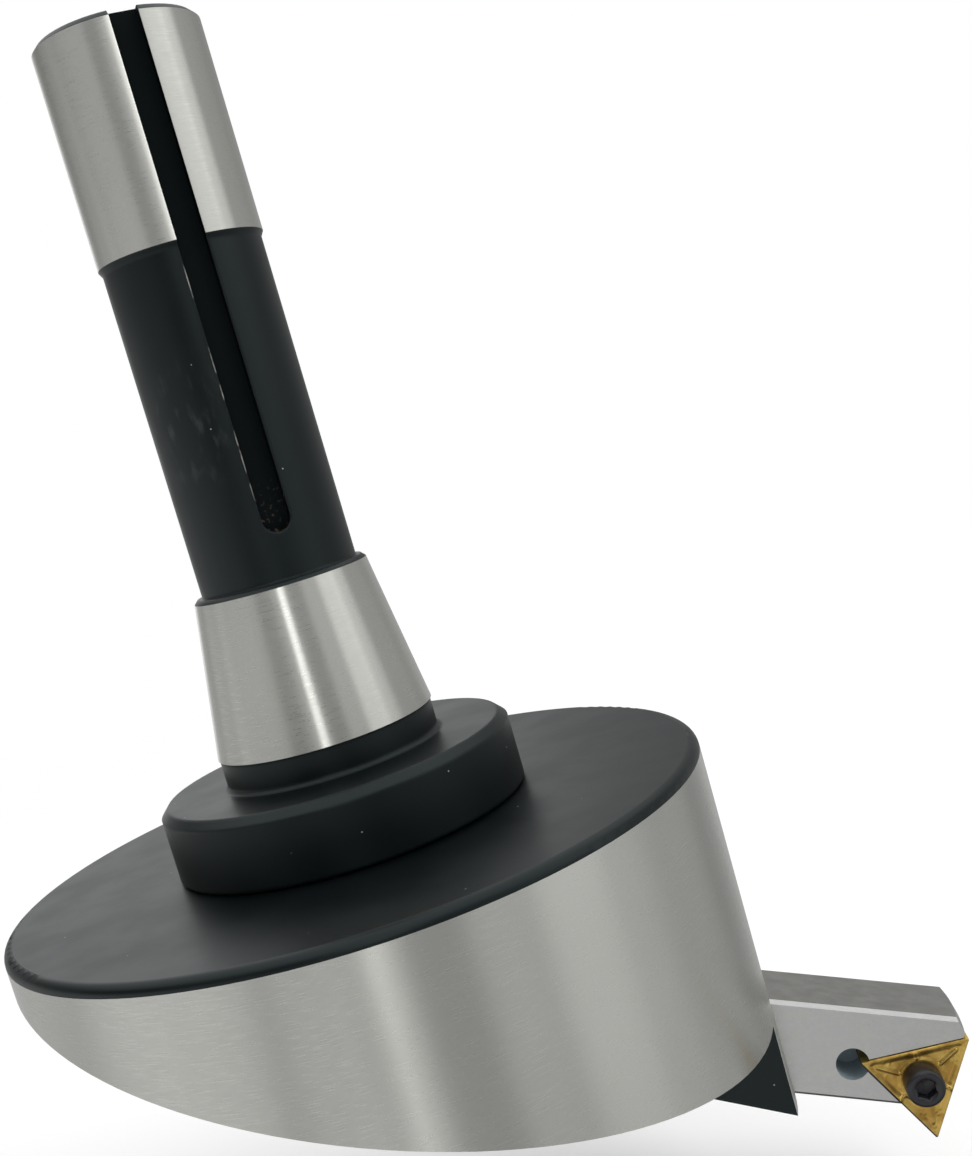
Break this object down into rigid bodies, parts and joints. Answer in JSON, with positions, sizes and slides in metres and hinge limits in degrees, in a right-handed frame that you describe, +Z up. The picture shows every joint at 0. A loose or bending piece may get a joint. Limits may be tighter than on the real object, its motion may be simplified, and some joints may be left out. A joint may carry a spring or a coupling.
{
  "type": "fly cutter",
  "caption": "Slant-bottomed fly cutter on a tapered spindle arbor, with a sloping slotted tool bar and a screwed triangular insert.",
  "frame": {"origin": "on the spindle axis at the taper's gauge line, where the taper is 31.75 mm across", "axes": "+Z up the shank to the drawbar, +X to the low side of the body where the tool bar comes out, -Y the side that leads in the cut"},
  "size_m": [0.1318, 0.105, 0.187],
  "materials": {
    "arbor_steel": "black oxide, with the pilot and the taper ground bright",
    "body_steel": "black oxide, with the round side turned bright",
    "bar_steel": "satin ground",
    "insert_coating": "gold hard coating",
    "cap_screw_steel": "black oxide",
    "set_screw_steel": "black oxide"
  },
  "bodies": {
    "cutter": {"arbor": "arbor_steel", "cutter_body": "body_steel"},
    "bar": {"tool_bar": "bar_steel"},
    "insert": {"insert": "insert_coating"},
    "insert_screw": {"insert_screw": "cap_screw_steel"},
    "screw_inner": {"bar_screw_inner": "set_screw_steel"},
    "screw_middle": {"bar_screw_middle": "set_screw_steel"},
    "screw_outer": {"bar_screw_outer": "set_screw_steel"}
  },
  "joints": [
    {"name": "bar_slide", "type": "slide", "parent": "cutter", "child": "bar", "axis": [0.9397, 0, -0.342], "range_m": [-0.01, 0.012]},
    {"name": "insert_lift", "type": "slide", "parent": "bar", "child": "insert", "axis": [0, -1, 0], "range_m": [0, 0.005]},
    {"name": "insert_screw_travel", "type": "slide", "parent": "insert", "child": "insert_screw", "axis": [0, -1, 0], "range_m": [0, 0.005]},
    {"name": "inner_screw_travel", "type": "slide", "parent": "cutter", "child": "screw_inner", "axis": [0, -1, 0], "range_m": [0, 0.003]},
    {"name": "middle_screw_travel", "type": "slide", "parent": "cutter", "child": "screw_middle", "axis": [0, -1, 0], "range_m": [0, 0.003]},
    {"name": "outer_screw_travel", "type": "slide", "parent": "cutter", "child": "screw_outer", "axis": [0, -1, 0], "range_m": [0, 0.003]}
  ]
}
